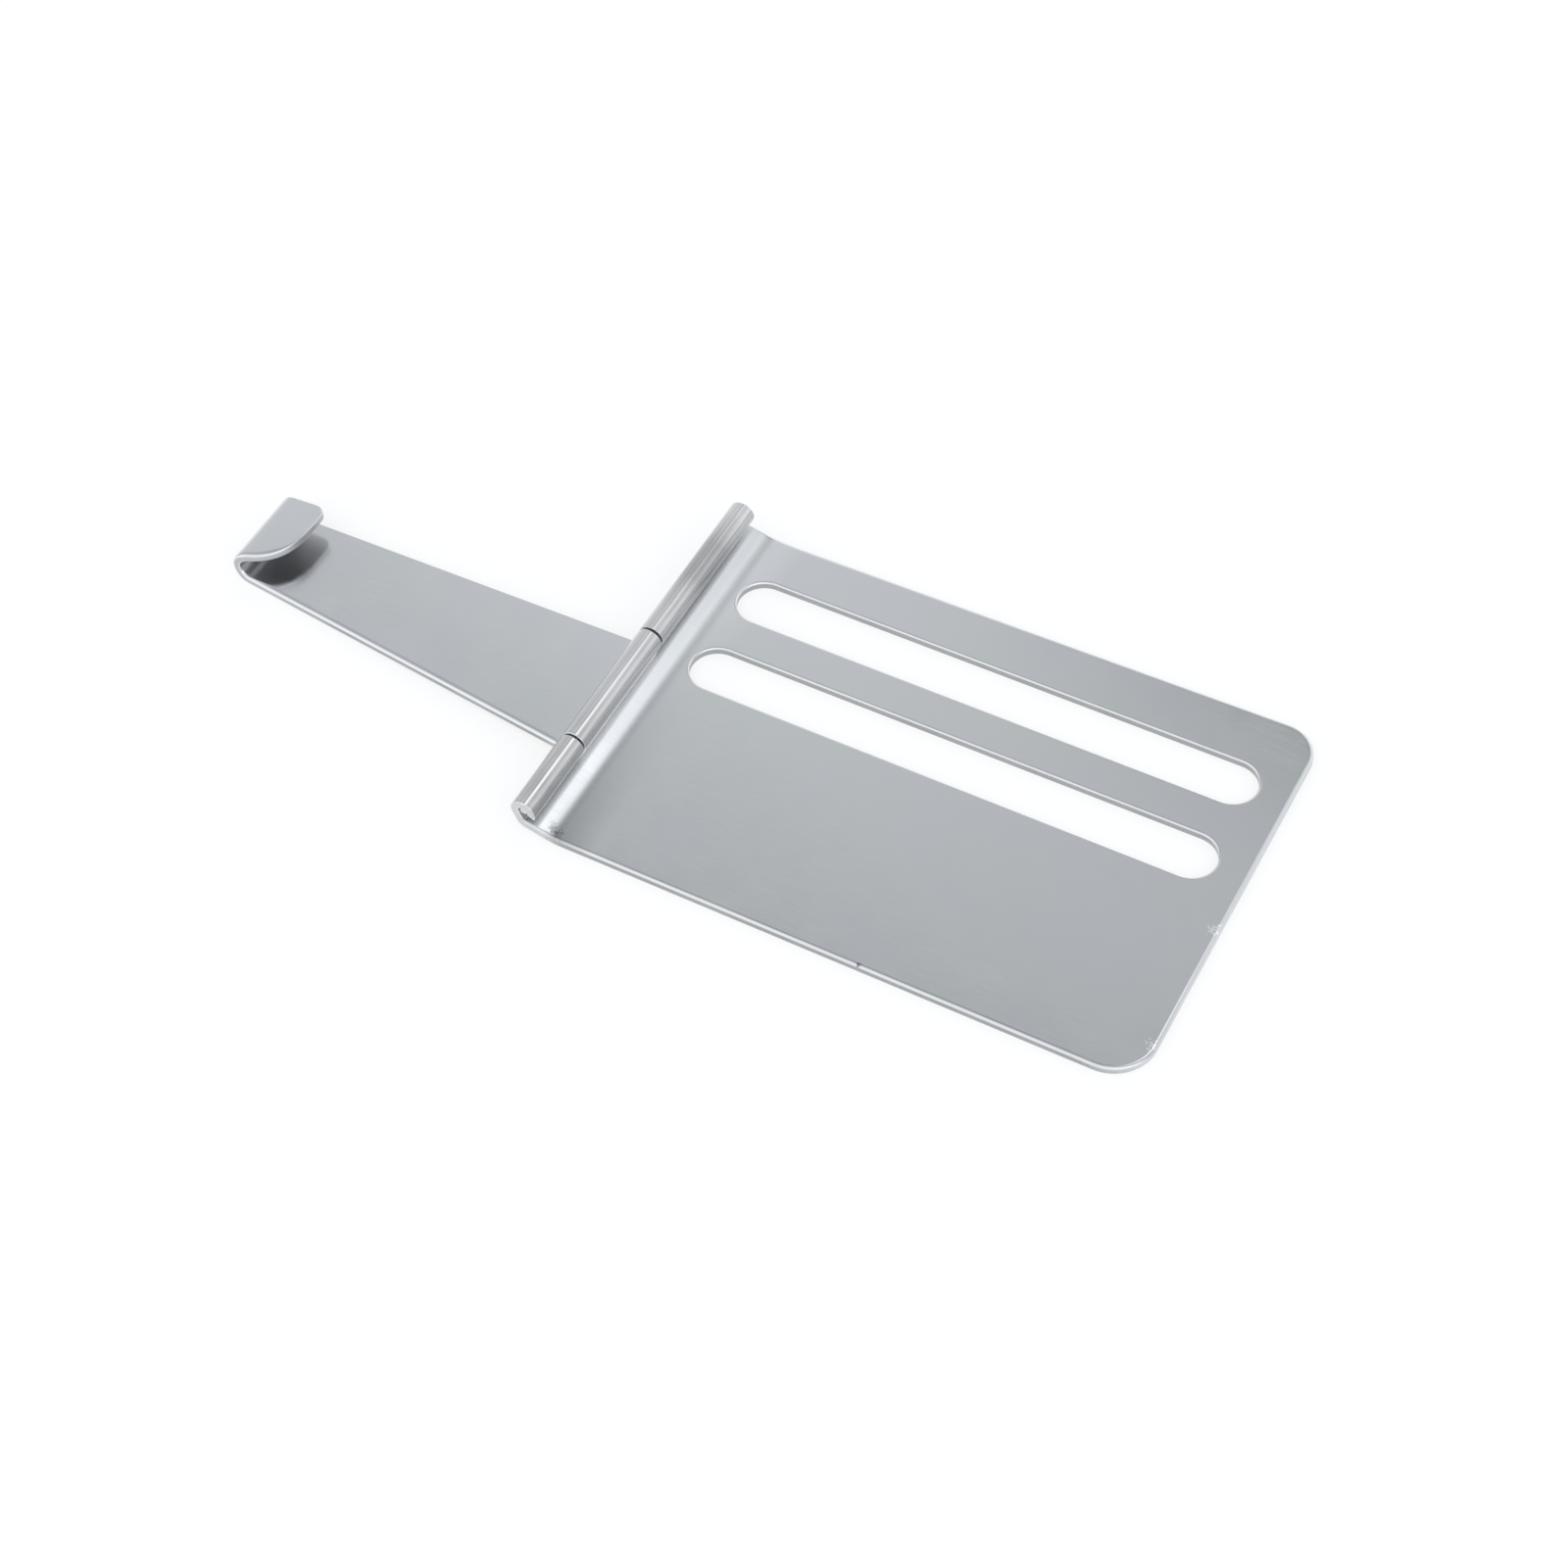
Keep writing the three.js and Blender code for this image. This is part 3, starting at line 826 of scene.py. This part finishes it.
# The sheared walls' darker colour is partly their duller fracture zone and partly painted shade
sheared_shaded_steel = steel("sheared_edge_painted_shade_and_light", (0.46, 0.46, 0.465), (0.36, 0.36, 0.365), (0.41, 0.41, 0.42),
                      0.3, 0.0012, ALONG_HINGE, GRAIN_SCALE, sheared_painted_light)
barrel_steel = steel("rubbed_barrel_painted_light", (0.74, 0.735, 0.735), (0.56, 0.56, 0.56), (0.65, 0.645, 0.65),
                     0.17, 0.0009, ALONG_HINGE, BARREL_GRAIN_SCALE, barrel_stain_and_painted_light)
inside_steel = steel("shaded_inside", (0.54, 0.54, 0.545), (0.44, 0.44, 0.44), (0.48, 0.48, 0.49),
                     0.4, 0.001, ALONG_HINGE)
wire_steel = steel("drawn_wire", (0.78, 0.78, 0.78), (0.62, 0.62, 0.62), (0.7, 0.7, 0.71),
                   0.28, 0.0008, ALONG_HINGE)

plate = build_plate()
arm = build_arm()
pin = build_pin()
for piece in (plate, arm):
    for material in (face_steel, sheared_shaded_steel, barrel_steel, inside_steel):
        piece.data.materials.append(material)
pin.data.materials.append(wire_steel)
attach(plate, "plate")
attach(arm, "arm")
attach(pin, "plate")
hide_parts("base_plate")
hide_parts("guide_arm")
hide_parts("hinge_pin")
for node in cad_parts.values():
    node.data.materials.clear()
    node.data.materials.append(wire_steel if node.name == "hinge_pin" else face_steel)


# The floor lies a little below the plate's underside, so that the two don't share a plane
FLOOR_DROP = 0.03
FLOOR_REACH_M = 3.0
FLOOR_COLOUR = (0.36, 0.36, 0.36, 1)
FLOOR_GLOW = 0.67


def build_floor():
    """A white floor that shows the object's soft shadow."""
    low, high = -FLOOR_REACH_M, FLOOR_REACH_M
    mesh = bpy.data.meshes.new("floor")
    corners = [(low, low, 0), (high, low, 0), (high, high, 0), (low, high, 0)]
    mesh.from_pydata(corners, [], [(0, 1, 2, 3)])
    floor = linked_object("floor", mesh)
    floor.location = (0, 0, -FLOOR_DROP * MM)
    material = bpy.data.materials.new("floor_white")
    material.use_nodes = True
    n = Nodes(material.node_tree)
    diffuse = n.add("ShaderNodeBsdfDiffuse")
    diffuse.inputs["Color"].default_value = FLOOR_COLOUR
    path = n.add("ShaderNodeLightPath")
    seen = n.math("MAXIMUM", path.outputs["Is Camera Ray"], path.outputs["Is Glossy Ray"])
    seen = n.math("MAXIMUM", seen, path.outputs["Is Transmission Ray"])
    glow = n.add("ShaderNodeEmission")
    glow.inputs["Color"].default_value = (1, 1, 1, 1)
    n.link(n.math("MULTIPLY", seen, FLOOR_GLOW), glow.inputs["Strength"])
    both = n.add("ShaderNodeAddShader")
    n.link(diffuse.outputs[0], both.inputs[0])
    n.link(glow.outputs[0], both.inputs[1])
    out = n.add("ShaderNodeOutputMaterial")
    n.link(both.outputs[0], out.inputs["Surface"])
    mesh.materials.append(material)


# The studio's brightness by direction: how far it is towards +Y, and its turn round the hinge's line
# from straight up towards +X. Rows are (degrees, brightness or share).
LIGHT_ALONG_HINGE = [
    (-90, 1.0), (-50, 1.12), (-12, 1.1), (2, 0.68), (10, 0.44), (18, 0.38), (26, 0.46), (30, 0.55),
    (32, 0.615), (34, 0.7), (37, 0.75), (50, 0.85), (90, 0.85),
]
LIGHT_ROUND_HINGE = [
    (-180, 0.1), (-100, 0.12), (-75, 0.2), (-58, 0.17), (-46, 0.16), (-34, 0.09), (-24, 0.05),
    (-17, 0.0), (-11, -0.04), (0, 0.0), (20, 0.04), (35, 0.16), (50, 0.36), (68, 0.36), (82, 0.0),
    (95, -0.15), (180, -0.05),
]
STRIP_ROUND_HINGE = [
    (-15, 0.0), (-8, -0.08), (-3, 0.3), (1, 0.85), (3, 1.0), (10, 1.0), (17, 0.5), (25, 0.1),
    (31, 0.0),
]
STRIP_ALONG_HINGE = [
    (-40, 0.0), (0, 0.0), (12, 0.25), (22, 0.95), (26, 1.06), (32.3, 1.06), (33.3, 0.2),
    (34.2, -0.02), (35.5, 0.0), (37, 0.22), (60, 0.1),
]
DARK_ROUND_HINGE = [(-26, 0.0), (-16, 0.7), (-8, 1.0), (-2, 0.6), (6, 0.0)]
DARK_ALONG_HINGE = [(36.5, 0.0), (40, 0.6), (48, 0.6), (56, 0.0)]
STUDIO_TINT = (0.975, 1.0, 1.03, 1)


def build_world():
    """A pale studio lit by soft panels: a narrow strip over the hinge's line, broad ones around."""
    world = bpy.data.worlds.new("studio")
    bpy.context.scene.world = world
    world.use_nodes = True
    n = Nodes(world.node_tree)
    direction = n.add("ShaderNodeTexCoord").outputs["Generated"]
    axes = n.axes(direction)
    along = n.math("ARCSINE", axes["Y"])
    turn = n.math("ARCTAN2", axes["X"], axes["Z"])
    light = n.math("ADD", n.profile(along, LIGHT_ALONG_HINGE), n.profile(turn, LIGHT_ROUND_HINGE))
    strip = n.math("MULTIPLY", n.profile(turn, STRIP_ROUND_HINGE),
                   n.profile(along, STRIP_ALONG_HINGE))
    dark = n.math("MULTIPLY", n.profile(turn, DARK_ROUND_HINGE), n.profile(along, DARK_ALONG_HINGE))
    background = n.add("ShaderNodeBackground")
    background.inputs["Color"].default_value = STUDIO_TINT
    n.link(n.math("SUBTRACT", n.math("ADD", light, strip), dark), background.inputs["Strength"])
    out = n.add("ShaderNodeOutputWorld")
    n.link(background.outputs[0], out.inputs["Surface"])


# The photograph's camera, fitted to the plate's edges and slots
CAMERA_PLACE = (73.3, -160.4, 214.0)
CAMERA_RIGHT = (0.8819, 0.4706, -0.0274)
CAMERA_BACK = (0.3118, -0.5388, 0.7826)
CAMERA_LENS = 70.45
CAMERA_SENSOR = 36
CAMERA_CLIP_M = (0.01, 10)


def build_camera():
    data = bpy.data.cameras.new("camera")
    data.lens = CAMERA_LENS
    data.sensor_width = CAMERA_SENSOR
    data.clip_start, data.clip_end = CAMERA_CLIP_M
    back = Vector(CAMERA_BACK).normalized()
    up = back.cross(Vector(CAMERA_RIGHT).normalized()).normalized()
    right = up.cross(back)
    turn = Matrix((right, up, back)).transposed().to_4x4()
    camera = linked_object("camera", data)
    camera.matrix_world = Matrix.Translation(Vector(CAMERA_PLACE) * MM) @ turn
    bpy.context.scene.camera = camera


build_floor()
build_world()
build_camera()
bpy.context.scene.view_settings.view_transform = "Standard"

bpy.context.view_layer.update()
